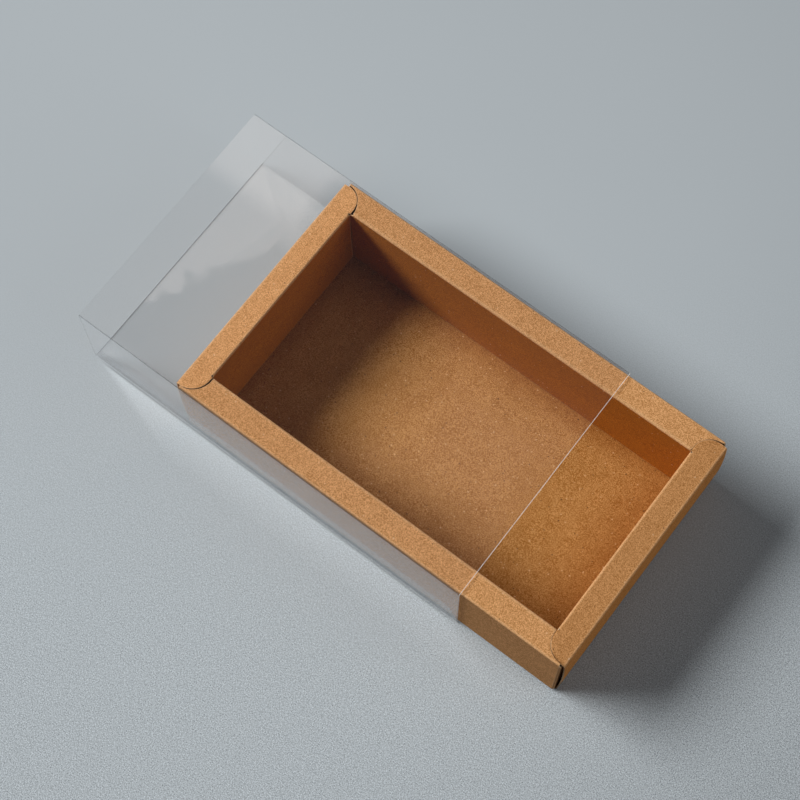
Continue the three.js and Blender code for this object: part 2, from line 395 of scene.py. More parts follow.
@dataclass(frozen=True)
class KraftCard(Finish):
    """Unbleached kraft board: mottled pulp, short fibres, specks, paler folds, and a painted
    shade, darker and more saturated, on the faces that the mesh marks.

    Attributes:
        cut_colour: The colour that folds and cuts pale to.
        deep_tone: What the deepest pulp multiplies the colour by.
        pale_tone: What the palest pulp multiplies it by.
        wander: How far the spots' outlines wander, and over what scale.
    """

    colour: Colour
    inside_shade_colour: Colour
    cut_colour: Colour
    dark_specks: Specks
    pale_flecks: Specks
    deep_tone: Colour = (0.68, 0.60, 0.42)
    pale_tone: Colour = (1.32, 1.40, 1.58)
    contrast: float = 1.0
    cloud_share: float = 0.25
    roughness: float = 0.86
    roughness_share: float = 0.12
    polish_share: float = 0.05
    sheen: float = 0.28
    broad_clouds: Noise = Noise(55.0, 3.0)
    small_clouds: Noise = Noise(190.0)
    mottle: Noise = Noise(900.0, 3.0, 0.6, 0.4)
    grain: Noise = Noise(2600.0, 2.0, 0.6)
    dust: Noise = Noise(3400.0, 1.0, 0.6)
    fibres: Noise = Noise(1.0, 2.0, 0.55)
    long_fibres: Stretch = Stretch((350.0, 1900.0, 1900.0), (0.0, 0.0, 0.35))
    cross_fibres: Stretch = Stretch((1900.0, 420.0, 1500.0), (0.3, 0.0, -0.5))
    tone_shares: PulpShares = PulpShares(mottle=0.55, grain=1.2, fibres=0.7, dust=4.2)
    relief_shares: PulpShares = PulpShares(mottle=0.6, grain=0.7, fibres=0.8, specks=0.2)
    fold_rubbing: Rubbing = Rubbing(0.55, 1.2, 0.42)
    cut_rubbing: Rubbing = Rubbing(0.8, 1.5, 0.55)
    wander: tuple[float, float] = (0.0006, 1500.0)
    bump_strength: float = 0.35
    bump_depth: float = 0.00022

    def surface(self, graph: Graph, place: Wire) -> Wire:
        """Builds the nodes of the board.

        Args:
            graph: The material's tree.
            place: The coordinates, in metres.

        Returns:
            The shader.
        """
        cloud = graph.noise(place, self.broad_clouds) + graph.noise(place, self.small_clouds) - 1.0
        mottle = graph.swing(place, self.mottle)
        grain = graph.swing(place, self.grain)
        along = graph.stretched(place, self.long_fibres)
        across = graph.stretched(place, self.cross_fibres)
        fibres = graph.noise(along, self.fibres) + graph.noise(across, self.fibres) - 1.0
        dust = graph.swing(place, self.dust)
        tone = self.tone_shares
        pulp = mottle * tone.mottle + grain * tone.grain + dust * tone.dust + fibres * tone.fibres
        share = 0.5 + cloud * self.cloud_share + pulp * self.contrast
        # Painted shade: marked faces take a darker, more saturated colour in place of the card's
        # own.
        inside = graph.attribute(Mark.INSIDE.value)
        plain = graph.mix(inside, self.colour, self.inside_shade_colour)
        deep = graph.mix(1.0, plain, self.deep_tone, "MULTIPLY")
        pale_pulp = graph.mix(1.0, plain, self.pale_tone, "MULTIPLY")
        shaded = graph.mix(share, deep, pale_pulp)
        fold = self.rubbed(graph, Mark.FOLD, mottle, self.fold_rubbing)
        creased = graph.mix(fold * self.fold_rubbing.share, shaded, self.cut_colour)
        cut = self.rubbed(graph, Mark.CUT, mottle, self.cut_rubbing).clamped()
        trimmed = graph.mix(cut * self.cut_rubbing.share, creased, self.cut_colour)
        reach, scale = self.wander
        swirl = graph.wire("ShaderNodeTexNoise", {}, {"Vector": place, "Scale": scale}, "Color")
        spread = graph.moved(place, graph.scaled(swirl, reach))
        dark = self.dark_specks.mask(graph, spread)
        pale = self.pale_flecks.mask(graph, spread)
        speckled = graph.mix(dark * self.dark_specks.cover_share, trimmed,
                             self.dark_specks.colour)
        flecked = graph.mix(pale * self.pale_flecks.cover_share, speckled,
                            self.pale_flecks.colour)
        relief = self.relief_shares
        height = (mottle * relief.mottle + grain * relief.grain + fibres * relief.fibres
                  + dark * relief.specks)
        bump = graph.bump(height, self.bump_strength, self.bump_depth)
        rough = self.roughness + mottle * self.roughness_share - fold * self.polish_share
        return graph.wire("ShaderNodeBsdfPrincipled", {}, {
            "Base Color": flecked, "Roughness": rough.clamped(), "Normal": bump,
            "Specular IOR Level": self.sheen,
        })

    def rubbed(self, graph: Graph, mark: Mark, mottle: Wire, rubbing: Rubbing) -> Wire:
        """How strongly a marked line of the mesh is rubbed."""
        return graph.attribute(mark.value) * (rubbing.even_share + mottle * rubbing.mottled_share)


@dataclass(frozen=True)
class CutCard(Finish):
    """The knife-cut edge of the board, where its layers show."""

    colour: Colour
    roughness: float = 0.92
    sheen: float = 0.2
    layers: Noise = Noise(1.0)
    layer_stretch: Stretch = Stretch((500.0, 500.0, 6000.0))
    layer_share: float = 0.5
    pulp: Noise = Noise(2400.0, 2.0, 0.6)
    pulp_share: float = 0.35
    bump_strength: float = 0.4
    bump_depth: float = 0.0001

    def surface(self, graph: Graph, place: Wire) -> Wire:
        """Builds the nodes of the cut edge.

        Args:
            graph: The material's tree.
            place: The coordinates, in metres.

        Returns:
            The shader.
        """
        layers = graph.swing(graph.stretched(place, self.layer_stretch), self.layers)
        pulp = graph.swing(place, self.pulp)
        tone = 1.0 + layers * self.layer_share + pulp * self.pulp_share
        bump = graph.bump(layers + pulp, self.bump_strength, self.bump_depth)
        return graph.wire("ShaderNodeBsdfPrincipled", {}, {
            "Base Color": graph.scaled(self.colour, tone), "Roughness": self.roughness,
            "Normal": bump, "Specular IOR Level": self.sheen,
        })


@dataclass(frozen=True)
class ClearSheet(Finish):
    """Glossy clear film, which mirrors more at a slant.

    Attributes:
        straight_share: How much it mirrors when seen straight on.
        slant_share: How much it mirrors at the flattest slant.
        slant_power: How late it turns from one to the other.
        haze_shares: What counts everywhere in its haze, and what only in smears.
        rough_shares: How much rougher smears and scuffs are.
        twist: How far the bottom is twisted at the open end, as a slope.
    """

    tint: Colour
    straight_share: float
    slant_share: float
    haze_share: float
    roughness: float
    twist: float
    twist_from: float = -0.060
    twist_length: float = 0.026
    slant_power: float = 5.0
    smears: Noise = Noise(45.0, 3.0, 0.5, 0.8)
    smear_range: tuple[float, float] = (0.52, 0.8)
    scuffs: Noise = Noise(1.0, 3.0, 0.6)
    scuff_stretch: Stretch = Stretch((260.0, 60.0, 260.0), (0.0, 0.0, 0.7))
    scuff_range: tuple[float, float] = (0.66, 0.82)
    rough_shares: tuple[float, float] = (0.6, 1.6)
    haze_shares: tuple[float, float] = (0.7, 0.6)
    bottom_height: float = 0.01
    bottom_half_width: float = 0.0497
    dents: Noise = Noise(60.0, 1.0)
    dent_depth: float = 0.0003

    def surface(self, graph: Graph, place: Wire) -> Wire:
        """Builds the nodes of the film.

        Args:
            graph: The material's tree.
            place: The coordinates, in metres.

        Returns:
            The shader.
        """
        slant = graph.wire("ShaderNodeLayerWeight", {}, {"Blend": 0.5}, "Facing")
        gain = self.slant_share - self.straight_share
        mirrored = self.straight_share + gain * slant ** self.slant_power
        smears = graph.noise(place, self.smears).ramp(*self.smear_range)
        scuffs = graph.noise(graph.stretched(place, self.scuff_stretch), self.scuffs)
        scuffs = scuffs.ramp(*self.scuff_range)
        smeared, scuffed = self.rough_shares
        rough = self.roughness * (1.0 + smears * smeared + scuffs * scuffed)
        bump = graph.bump(self.bend(graph, place), 1.0, 1.0)
        even, smeared = self.haze_shares
        cover = mirrored + self.haze_share * (even + smears * smeared)
        return graph.wire("ShaderNodeBsdfPrincipled", {}, {
            "Base Color": (*self.tint, 1.0), "Metallic": 1.0, "Roughness": rough,
            "Alpha": cover.clamped(), "Normal": bump,
        })

    def bend(self, graph: Graph, place: Wire) -> Wire:
        """How high the bottom stands at its open end, where it is twisted and dented.

        Args:
            graph: The material's tree.
            place: The coordinates, in metres.

        Returns:
            The height, in metres.
        """
        x, y, z = graph.parts(place)
        turned = ((self.twist_from - x) / self.twist_length).clamped()
        dents = graph.swing(place, self.dents) * self.dent_depth
        half = self.bottom_half_width
        bottom = (z < self.bottom_height) * (y < half) * (y > -half)
        return (dents - y * self.twist) * turned * bottom


@dataclass(frozen=True)
class HazyEdge(Finish):
    """Cut or creased clear film, which hides some of what lies behind it, in a painted colour:
    pale for a painted highlight, dark grey for painted shade.

    Attributes:
        cover_share: How far it hides what lies behind it.
        tone_share: How far its colour and its roughness follow the nicks along it.
        nick_share: How far its cover does.
    """

    colour: Colour
    cover_share: float
    roughness: float = 0.5
    nicks: Noise = Noise(700.0, 3.0, 0.6)
    tone_share: float = 0.2
    nick_share: float = 0.3

    def surface(self, graph: Graph, place: Wire) -> Wire:
        """Builds the nodes of the edge.

        Args:
            graph: The material's tree.
            place: The coordinates, in metres.

        Returns:
            The shader.
        """
        nicks = graph.swing(place, self.nicks)
        return graph.wire("ShaderNodeBsdfPrincipled", {}, {
            "Base Color": graph.scaled(self.colour, 1.0 + nicks * self.tone_share),
            "Roughness": (self.roughness + nicks * self.tone_share).clamped(),
            "Alpha": (self.cover_share + nicks * self.nick_share).clamped(),
        })


@dataclass(frozen=True)
class ThrownLight:
    """The light and shade that the sleeve's clear near side throws on the floor, and the shadow
    under the empty sleeve, all painted into the floor's colour.

    Attributes:
        near_side: Distance of the near side from the middle of the sleeve.
        half_length: Half the length of the sleeve.
        band_width: How far out from the near side the band of painted light reaches.
        band_from: Where it begins, out from the near side.
        band_full: Where it reaches its full brightness.
        band_share: How much brighter it is, halfway along the sleeve.
        band_slope: How much less that is for each metre towards the front.
        slant: How far the band's ends run along for each metre out.
        back_blur: The length over which its back end fades.
        front_blur: The length over which its front end fades.
        contact_shadow_place: Where the painted shadow of contact lies, out from the near side.
            contact_shadow_reach: How far that painted shadow fades to either side.
            contact_shadow_share: How much darker it is.
        contact_shadow_reach: How far that line fades to either side.
        contact_shadow_share: How much darker it is.
        empty_reach: How far behind the middle the painted shadow under the empty sleeve is full.
            sheet_shadow_share: How much darker that painted shadow makes the floor.
        sheet_shadow_share: How much darker it makes the floor.
        glow_width: How far in from the near side the painted light under the sleeve reaches.
            glow_share: How much brighter it is at the near side.
        glow_share: How much brighter it is at the near side.
    """

    near_side: float = 0.05075
    half_length: float = 0.0853
    band_width: float = 0.0156
    band_from: float = 0.0003
    band_full: float = 0.0009
    band_share: float = 0.21
    band_slope: float = 0.9
    slant: float = 2.98
    back_blur: float = 0.008
    front_blur: float = 0.012
    contact_shadow_place: float = 0.0004
    contact_shadow_reach: float = 0.0008
    contact_shadow_share: float = 0.3
    empty_reach: float = 0.04
    sheet_shadow_share: float = 0.06
    glow_width: float = 0.0105
    glow_share: float = 0.31

    def strength(self, x: Wire, y: Wire) -> Wire:
        """How much painted light and shade the floor takes on, against plain floor.

        Args:
            x: The place along the sleeve, in metres.
            y: The place across it.

        Returns:
            1 on plain floor, more with the painted light beside and under the sleeve's near side,
            less with the painted shadow where the sleeve touches and under the empty sleeve.
        """
        gap = -y - self.near_side
        run = gap * self.slant
        # Painted light: a bright band on the floor beside the sleeve's near side.
        band = (1.0 - gap / self.band_width).clamped() * gap.ramp(self.band_from, self.band_full)
        back = ((x + self.half_length - run) / self.back_blur).clamped()
        ends = back * ((self.half_length + run - x) / self.front_blur).clamped()
        # Painted shadow: a dark line on the floor where the sleeve touches it.
        line = (1.0 - abs(gap - self.contact_shadow_place) / self.contact_shadow_reach).clamped() * ends
        # Painted shadow on the floor under the empty part of the sleeve.
        empty = (-x).ramp(0.0, self.empty_reach)
        sheet_shadow = (gap < 0.0) * (y < self.near_side) * (x > -self.half_length) * empty
        # Painted light on the floor under the sleeve, brightest at its near side.
        glow = (1.0 + gap / self.glow_width).clamped() * sheet_shadow
        return (1.0 + band * ends * (self.band_share - x * self.band_slope)
                - line * self.contact_shadow_share - sheet_shadow * self.sheet_shadow_share + glow * self.glow_share)


@dataclass(frozen=True)
class StudioFloor(Finish):
    """The pale board that the box stands on, with a fine grain and painted light that falls off
    away from the middle of the lamps' light.

    Attributes:
        bounce: How bright it is for the light that it passes on to the box.
        below: How far it lies under the sleeve's bottom, so that the two never meet.
        grain_way: The way, along X and against Y, in which the grain comes to show.
        grain_from, grain_full: Where it begins and where it shows in full, along that way.
        brightest: The painted brightness at the middle of the light.
        middle: Where along X that is.
        fading: How fast that painted light falls with the square of the distance from there.
        fading_reach: The squared distance past which it falls no more.
        front_from: Where along X a faster fall of the painted light towards the front begins.
        front_fading: How fast that is, with the square of the distance from there.
        front_reach: The squared distance past which it ends.
        far_from, far_to: The distances between which it turns into the plain backdrop.
        dimples: The strength and the depth of the bumps.
    """

    name: str = "studio_floor"
    colour: Colour = (0.400, 0.437, 0.458)
    bounce: Colour = (0.06, 0.065, 0.07)
    half_size: float = 4.0
    below: float = 0.00003
    roughness: float = 0.9
    sheen: float = 0.2
    grain: Noise = Noise(2450.0, 2.0, 0.7)
    grain_way: tuple[float, float] = (0.61, 0.79)
    grain_from: float = -0.08
    grain_full: float = 0.14
    grain_share: float = 3.0
    clouds: Noise = Noise(9.0)
    cloud_share: float = 0.03
    brightest: float = 1.10
    middle: float = 0.02
    fading: float = 1.6
    fading_reach: float = 0.07
    front_from: float = 0.06
    front_fading: float = 7.0
    front_reach: float = 0.02
    far_from: float = 0.35
    far_to: float = 0.8
    dimples: tuple[float, float] = (0.3, 0.0002)
    light: ThrownLight = ThrownLight()

    def surface(self, graph: Graph, place: Wire) -> Wire:
        """Builds the nodes of the floor.

        Args:
            graph: The material's tree.
            place: The coordinates, in metres.

        Returns:
            The shader.
        """
        x, y = graph.parts(place)[:2]
        along, across = self.grain_way
        worn = (x * along - y * across).ramp(self.grain_from, self.grain_full)
        grain = graph.swing(place, self.grain) * worn
        cloud = graph.swing(place, self.clouds)
        # Painted light: the floor's tone is brightest at the middle of the lamps' light and falls
        # off away from it, faster towards the front.
        edge = (x - self.middle) ** 2.0 + y ** 2.0
        front = (x - self.front_from).clamped() ** 2.0
        fading = (edge.capped(self.fading_reach) * self.fading
                  + front.capped(self.front_reach) * self.front_fading)
        tone = self.brightest - fading + grain * self.grain_share + cloud * self.cloud_share
        bump = graph.bump(grain, *self.dimples)
        kinds = graph.rays("Camera", "Glossy", "Transmission")
        far = edge.root().ramp(self.far_from, self.far_to)
        seen = sum(kinds, 0.0).clamped()
        # The painted light and shade that the sleeve throws multiply the floor's colour, for
        # camera and mirrored rays.
        colour = graph.mix(seen, self.bounce,
                           graph.scaled(self.colour, tone * self.light.strength(x, y)))
        shader = graph.wire("ShaderNodeBsdfPrincipled", {}, {
            "Base Color": colour, "Roughness": self.roughness,
            "Normal": bump, "Specular IOR Level": self.sheen,
        })
        backdrop = graph.wire("ShaderNodeEmission", {}, {"Color": (*self.colour, 1.0),
                                                         "Strength": seen})
        return graph.wire("ShaderNodeMixShader", {}, {0: far, 1: shader, 2: backdrop})


# Meshes

def spaced(start: float, stop: float, count: int) -> list[float]:
    """Evenly spaced numbers from start to stop, count steps apart."""
    return [start + (stop - start) * i / count for i in range(count + 1)]


def kept(share: float) -> float:
    """The share, kept from 0 to 1."""
    return min(max(share, 0.0), 1.0)


def settled(piece: bpy.types.Object) -> bpy.types.Object:
    """Turns a piece's modifiers into plain mesh, with its sharp edges marked.

    Args:
        piece: The piece.

    Returns:
        The same piece, without modifiers.
    """
    depsgraph = bpy.context.evaluated_depsgraph_get()
    evaluated = piece.evaluated_get(depsgraph)
    mesh = bpy.data.meshes.new_from_object(evaluated, preserve_all_data_layers=True,
                                           depsgraph=depsgraph)
    mesh.name = piece.name
    piece.modifiers.clear()
    piece.data = mesh
    mesh.polygons.foreach_set("use_smooth", [True] * len(mesh.polygons))
    mesh.set_sharp_from_angle(angle=SHARP_ANGLE)
    return piece


def linked(name: str, data: bpy.types.ID) -> bpy.types.Object:
    """Puts a mesh, lamp or camera in the scene as an object at the origin.

    Args:
        name: The object's name.
        data: The mesh, lamp or camera.

    Returns:
        The object.
    """
    piece = bpy.data.objects.new(name, data)
    bpy.context.scene.collection.objects.link(piece)
    return piece


@dataclass(frozen=True)
class Station:
    """One line along a folded side: where it lies and how far it reaches.

    Attributes:
        out: Distance outward from the middle of the tray.
        up: Height above the underside of the tray.
        reach: Half the length of the card on this line.
        fold: 1 on a fold and 0 on a flat panel.
        inside: 1 on the panels that face into the tray, which take the painted shade.
        lift: How far an ear stands up on this line.
    """

    out: float
    up: float
    reach: float
    fold: float = 0.0
    inside: float = 0.0
    lift: float = 0.0


class CardSheet:
    """Collects the outer skin of a folded card and gives it the thickness of the board.

    Attributes:
        weld_gap: Points that are closer than this become one.
        worn_width: How far the cut edges are worn round.
        worn_steps: The number of faces round a worn edge.
        worn_angle: Edges that turn by more than this are worn.
    """

    weld_gap = 0.002
    worn_width = 0.07
    worn_steps = 2
    worn_angle = math.radians(50.0)

    def __init__(self, name: str, thickness: float) -> None:
        """Starts an empty sheet.

        Args:
            name: The name of the piece.
            thickness: The thickness of the board, in millimetres.
        """
        self.name = name
        self.thickness = thickness
        self.skin = bmesh.new()
        self.layers = {m: self.skin.verts.layers.float.new(m.value) for m in Mark}

    def patch(self, rows: Sequence[Sequence[tuple[Vector, dict[Mark, float]]]]) -> None:
        """Adds a patch of faces through rows of marked points, its face to the outside.

        Args:
            rows: The points, each with its marks, row by row.
        """
        grid = []
        for row in rows:
            line = []
            for point, marks in row:
                corner = self.skin.verts.new(point)
                for mark, value in marks.items():
                    corner[self.layers[mark]] = value
                line.append(corner)
            grid.append(line)
        for low, high in zip(grid, grid[1:]):
            for a, b, c, d in zip(low, low[1:], high[1:], high):
                self.skin.faces.new((a, b, c, d))

    def piece(self, place: Matrix, skins: Sequence[bpy.types.Material]) -> bpy.types.Object:
        """Finishes the sheet.

        Args:
            place: Where the sheet goes, in millimetres.
            skins: The materials of the outer face, the cut edge and the reverse.

        Returns:
            The piece, a closed mesh in metres.
        """
        bmesh.ops.remove_doubles(self.skin, verts=self.skin.verts, dist=self.weld_gap)
        bmesh.ops.transform(self.skin, matrix=Matrix.Scale(MILLIMETRE, 4) @ place,
                            verts=self.skin.verts)
        mesh = bpy.data.meshes.new(self.name)
        self.skin.to_mesh(mesh)
        self.skin.free()
        piece = linked(self.name, mesh)
        for skin in skins:
            mesh.materials.append(skin)
        board = piece.modifiers.new("board", "SOLIDIFY")
        board.thickness = self.thickness * MILLIMETRE
        board.offset = -1.0
        board.use_even_offset = True
        board.material_offset_rim = 1
        board.material_offset = 2
        wear = piece.modifiers.new("worn_edges", "BEVEL")
        wear.width = self.worn_width * MILLIMETRE
        wear.segments = self.worn_steps
        wear.limit_method = "ANGLE"
        wear.angle_limit = self.worn_angle
        return settled(piece)


# The tray

class Side(Enum):
    """The four sides of the tray, each with the angle that its outward way makes with X."""

    FRONT = ("front", 0.0)
    FAR = ("far", 90.0)
    BACK = ("back", 180.0)
    NEAR = ("near", 270.0)

    @property
    def word(self) -> str:
        """The side's name in the names of its nodes."""
        return self.value[0]

    @property
    def turn(self) -> Matrix:
        """The turn from a sheet drawn for the front to this side."""
        return Matrix.Rotation(math.radians(self.value[1]), 4, "Z")


@dataclass(frozen=True)
class EndFit:
    """How one end of the tray has settled when it was folded.

    Attributes:
        crease: Distance of the rim's outer fold from the middle of the tray.
        opening: Distance of the inner wall's face from the middle of the tray.
        lift: How far the ears stand up over the long rims.
        near_gap: Width of the knife cut round the near ear, at the crease and at the opening.
        far_gap: The same round the far ear.
        wall_shade_share: The share of the painted shade that the outer wall takes on.
        rim_shade_share: The same for the rim.
    """

    crease: float
    opening: float
    lift: float
    near_gap: tuple[float, float]
    far_gap: tuple[float, float]
    wall_shade_share: float = 0.0
    rim_shade_share: float = 0.0


@dataclass(frozen=True)
class TrayCard:
    """Sizes that the tray's sheets share.

    Attributes:
        shoulder: The width of the narrow first step beside a fold or a cut.
        ear_blend: The length over which a lifted ear rises.
        knife_gap: The width of the knife cut between an ear and the long crease.
        corner_ease: How far the rim's corners are rounded beside the cut.
        hollow_angle: The angle round an ear at which the long rim runs out to its point.
        hollow_rise: How far past the ear's radius that point lies.
        hollow_share: The share of the hollow over which the knife cut changes its width.
        inner_lap: How far the long inner walls run in behind the end walls.
        inner_ease: How much shorter than the opening the end walls are.
        core_margin: How far short of the front opening the common rows of a long side end.
        rim_drop: How much lower the end rims lie on their outer side.
        swell_power: How late the base's swell falls off towards the walls.
        near_margin, far_margin, front_margin, back_margin: The width of the painted shade along
        each side of the base.
        margin_power: How fast that painted shade fades.
        wing_share: The share of a wing that its last narrow step may not enter.
    """

    length: float = 169.0
    width: float = 100.0
    height: float = 39.5
    rim: float = 10.0
    thickness: float = 0.45
    fold_radius: float = 0.7
    shoulder: float = 0.35
    ear_radius: float = 7.5
    ear_blend: float = 5.0
    knife_gap: float = 0.4
    corner_ease: float = 0.35
    hollow_angle: float = 82.0
    hollow_rise: float = 0.3
    hollow_share: float = 0.5
    end_bow: float = 0.8
    inner_bow: float = 0.25
    inner_lap: float = 0.35
    inner_ease: float = 0.05
    core_margin: float = 1.8
    rim_drop: float = 1.6
    base_swell: float = 1.7
    swell_power: int = 4
    # Widths of the base's painted shade next to each inner wall.
    near_margin: float = 22.0
    far_margin: float = 11.0
    front_margin: float = 22.0
    back_margin: float = 8.0
    margin_power: float = 1.3
    # The front end's outer wall and rim take on part of the painted shade, so they are darker than
    # the back end.
    front: EndFit = EndFit(84.8, 75.25, 0.22, (0.16, 0.16), (0.12, 0.12), 0.5, 0.2)
    back: EndFit = EndFit(85.3, 75.75, 0.0, (0.55, 0.7), (0.3, 0.85))
    tuck_length: float = 24.0
    tuck_taper: float = 5.0
    tuck_gap: float = 0.3
    foot_taper: float = 6.0
    foot_gap: float = 0.35
    wing_share: float = 0.8
    fold_steps: int = 8
    panel_steps: int = 12
    core_steps: int = 44
    wing_steps: int = 5
    ear_steps: int = 12
    tip_steps: int = 5
    hollow_steps: int = 16
    tuck_steps: int = 8
    base_steps: tuple[int, int] = (84, 50)

    @property
    def ear_edge(self) -> float:
        """How far the ears reach across the tray."""
        return self.width / 2 - self.fold_radius - self.knife_gap

    @property
    def half_opening(self) -> float:
        """Half the width of the opening, where the ears begin."""
        return self.width / 2 - self.rim

    @property
    def tuck_face(self) -> float:
        """Where the outer face of the tuck flaps lies, along the tray."""
        return self.length / 2 - self.thickness - self.tuck_gap

    def ear_centre(self, end: EndFit) -> tuple[float, float]:
        """The middle of the rounded part of an end's ear, along and across the tray."""
        return (end.opening + self.ear_radius, self.ear_edge - self.ear_radius)


class FoldedSide:
    """One side of the tray: outer wall, rim, inner wall and foot flap, folded in one piece.

    Attributes:
        least_length: Lengths that differ by less than this count as the same.
    """

    least_length = 0.01

    def __init__(self, card: TrayCard, side: Side, depths: Sequence[float], core: float,
                 drop: float = 0.0) -> None:
        """Takes the card's sizes, the side, and its depths and length.

        Args:
            card: The sizes.
            side: Which side this is.
            depths: How far the base's edge, the rim's outer fold and the face of the inner
                wall are from the middle of the tray.
            core: Half the length that all rows of the side share.
            drop: How much lower the rim's outer fold lies than its inner one.
        """
        self.card = card
        self.side = side
        self.half_depth, self.crease, self.opening = depths
        self.core = core
        self.drop = drop
        # Shares of painted shade for the upright panels and for the rim; none on a long side.
        self.tone_shares = (0.0, 0.0)
        self.sheet = CardSheet(f"tray_{side.word}_side", card.thickness)

    def rim_height(self, out: float) -> float:
        """The height of the rim at this distance out.

        Args:
            out: The distance outward from the middle of the tray.

        Returns:
            The height above the underside of the tray.
        """
        card = self.card
        span = self.crease - self.opening - 2 * card.fold_radius
        return card.height - self.drop * kept((out - self.opening - card.fold_radius) / span)

    def arc(self, out: float, up: float, start: float, reach: float,
            inside: float = 0.0) -> list[Station]:
        """Stations round a quarter fold about a line.

        Args:
            out: How far out the line lies.
            up: How high it lies.
            start: The angle at which the fold starts, in degrees.
            reach: Half the length of the card.
            inside: 1 on a fold that faces into the tray, which takes the painted shade.

        Returns:
            The stations, in the order of their angles.
        """
        card = self.card
        angles = (math.radians(start + a) for a in spaced(0.0, 90.0, card.fold_steps))
        return [Station(out + card.fold_radius * math.cos(a), up + card.fold_radius * math.sin(a),
                        reach, 1.0, inside) for a in angles]

    def flat(self, start: tuple[float, float], stop: tuple[float, float], reach: float,
             bow: float = 0.0, inside: float = 0.0) -> list[Station]:
        """Stations over a flat panel, between its folds.

        Args:
            start: Where the panel starts, out and up.
            stop: Where it ends.
            reach: Half the length of the card.
            bow: How far the panel is bowed out at its middle.
            inside: 1 on a panel that faces into the tray, which takes the painted shade.

        Returns:
            The stations, without those at the panel's two ends.
        """
        card = self.card
        span = math.dist(start, stop)
        near_fold = card.shoulder / span
        shares = sorted({near_fold, 1.0 - near_fold, *spaced(0.0, 1.0, card.panel_steps)[1:-1]})
        stations = []
        for share in shares:
            swell = bow * 4.0 * share * (1.0 - share)
            stations.append(Station(start[0] + (stop[0] - start[0]) * share + swell,
                                    start[1] + (stop[1] - start[1]) * share,
                                    reach, 0.0, inside))
        return stations

    def outer(self, reach: float, bow: float) -> list[Station]:
        """Stations from the base's edge, up the outer wall and over its top fold.

        Args:
            reach: Half the length of the wall.
            bow: How far the wall is bowed out at its middle.

        Returns:
            The stations, from the base up.
        """
        card = self.card
        radius = card.fold_radius
        top = card.height - self.drop - radius
        return [
            *self.arc(self.half_depth - radius, radius, -90.0, reach),
            *self.flat((self.half_depth, radius), (self.crease, top), reach, bow),
            *self.arc(self.crease - radius, top, 0.0, reach),
        ]

    def inner(self, top_reach: float, wall_reach: float) -> list[Station]:
        """Stations over the rim's inner fold and down the inner wall to its lower fold.

        Args:
            top_reach: Half the length of the card on the rim's inner fold.
            wall_reach: Half the length of the inner wall.

        Returns:
            The stations, from the rim down.
        """
        card = self.card
        line = self.opening + card.fold_radius
        top = card.height - card.fold_radius
        bottom = card.thickness + card.fold_radius
        fold = self.arc(line, top, 90.0, top_reach)
        return [
            *(self.eased(station, row) for row, station in enumerate(fold)),
            *self.flat((self.opening, top), (self.opening, bottom), wall_reach,
                       card.inner_bow, 1.0),
            *self.arc(line, bottom, 180.0, wall_reach, 1.0),
        ]

    def eased(self, station: Station, row: int) -> Station:
        """Rounds the corner that the rim's inner fold makes with the knife cut.

        Args:
            station: A station of the fold.
            row: Its number in the fold.

        Returns:
            The station, drawn in.
        """
        share = row / self.card.fold_steps
        ease = self.card.corner_ease * math.sin(math.pi * share)
        return replace(station, reach=station.reach - ease)

    def foot(self, fold: Station) -> list[Station]:
        """Stations from the inner wall's lower fold out over the foot flap.

        Args:
            fold: The last station of the lower fold.

        Returns:
            The stations, from the fold out.
        """
        card = self.card
        free = self.half_depth - card.thickness - card.foot_gap
        reach = self.core
        return [
            replace(fold, reach=reach),
            Station((fold.out + free) / 2, card.thickness, reach - card.foot_taper / 2),
            Station(free, card.thickness, reach - card.foot_taper),
        ]

    def marked(self, station: Station, along: float, cut: float) -> tuple[Vector, dict]:
        """A point of the sheet with its marks.

        Args:
            station: The line on which it lies.
            along: Its place along that line.
            cut: 1 at a cut end, else 0.

        Returns:
            The point and its marks.
        """
        card = self.card
        upright = station.up < card.height - self.drop - card.fold_radius
        # The painted shade that this station takes on: one share for the upright panels, another
        # for the rim.
        tone = self.tone_shares[0] if upright else self.tone_shares[1]
        marks = {Mark.FOLD: station.fold, Mark.CUT: cut,
                 Mark.INSIDE: max(station.inside, tone)}
        ear = kept((abs(along) - card.width / 2 + card.rim) / card.ear_blend)
        up = station.up + station.lift * ear * ear * (3.0 - 2.0 * ear)
        return Vector((station.out, along, up)), marks

    def lay(self, stations: Sequence[Station],
            columns: Callable[[Station], list[float]]) -> None:
        """Adds the patch that these stations and columns make, and marks its cut ends.

        Args:
            stations: The lines of the patch.
            columns: Gives the places along each of them.
        """
        rows = []
        for station in stations:
            row = []
            for along in columns(station):
                at_end = abs(along) > station.reach - self.least_length
                row.append(self.marked(station, along, 1.0 if at_end else 0.0))
            rows.append(row)
        self.sheet.patch(rows)

    def columns(self, edge: float, inner: float) -> list[float]:
        """Columns from edge to edge, with a step of its own outside the inner ones."""
        return [-edge, *spaced(-inner, inner, self.card.core_steps), edge]

    def core_columns(self, station: Station) -> list[float]:
        """Columns over the length of the inner wall, drawn in where the station is shorter."""
        edge = min(station.reach, self.core)
        return self.columns(edge, edge - self.card.shoulder)

    def wall_columns(self, station: Station) -> list[float]:
        """Columns over the whole length of the inner wall."""
        edge = station.reach
        return self.columns(edge, min(edge, self.core) - self.card.shoulder)

    def wing_columns(self, root: float, sign: int) -> Callable[[Station], list[float]]:
        """Columns from a root line to the station's end.

        Args:
            root: How far the root line is from the middle.
            sign: 1 or -1, the way in which the wing points.

        Returns:
            What gives the columns on a station.
        """
        card = self.card

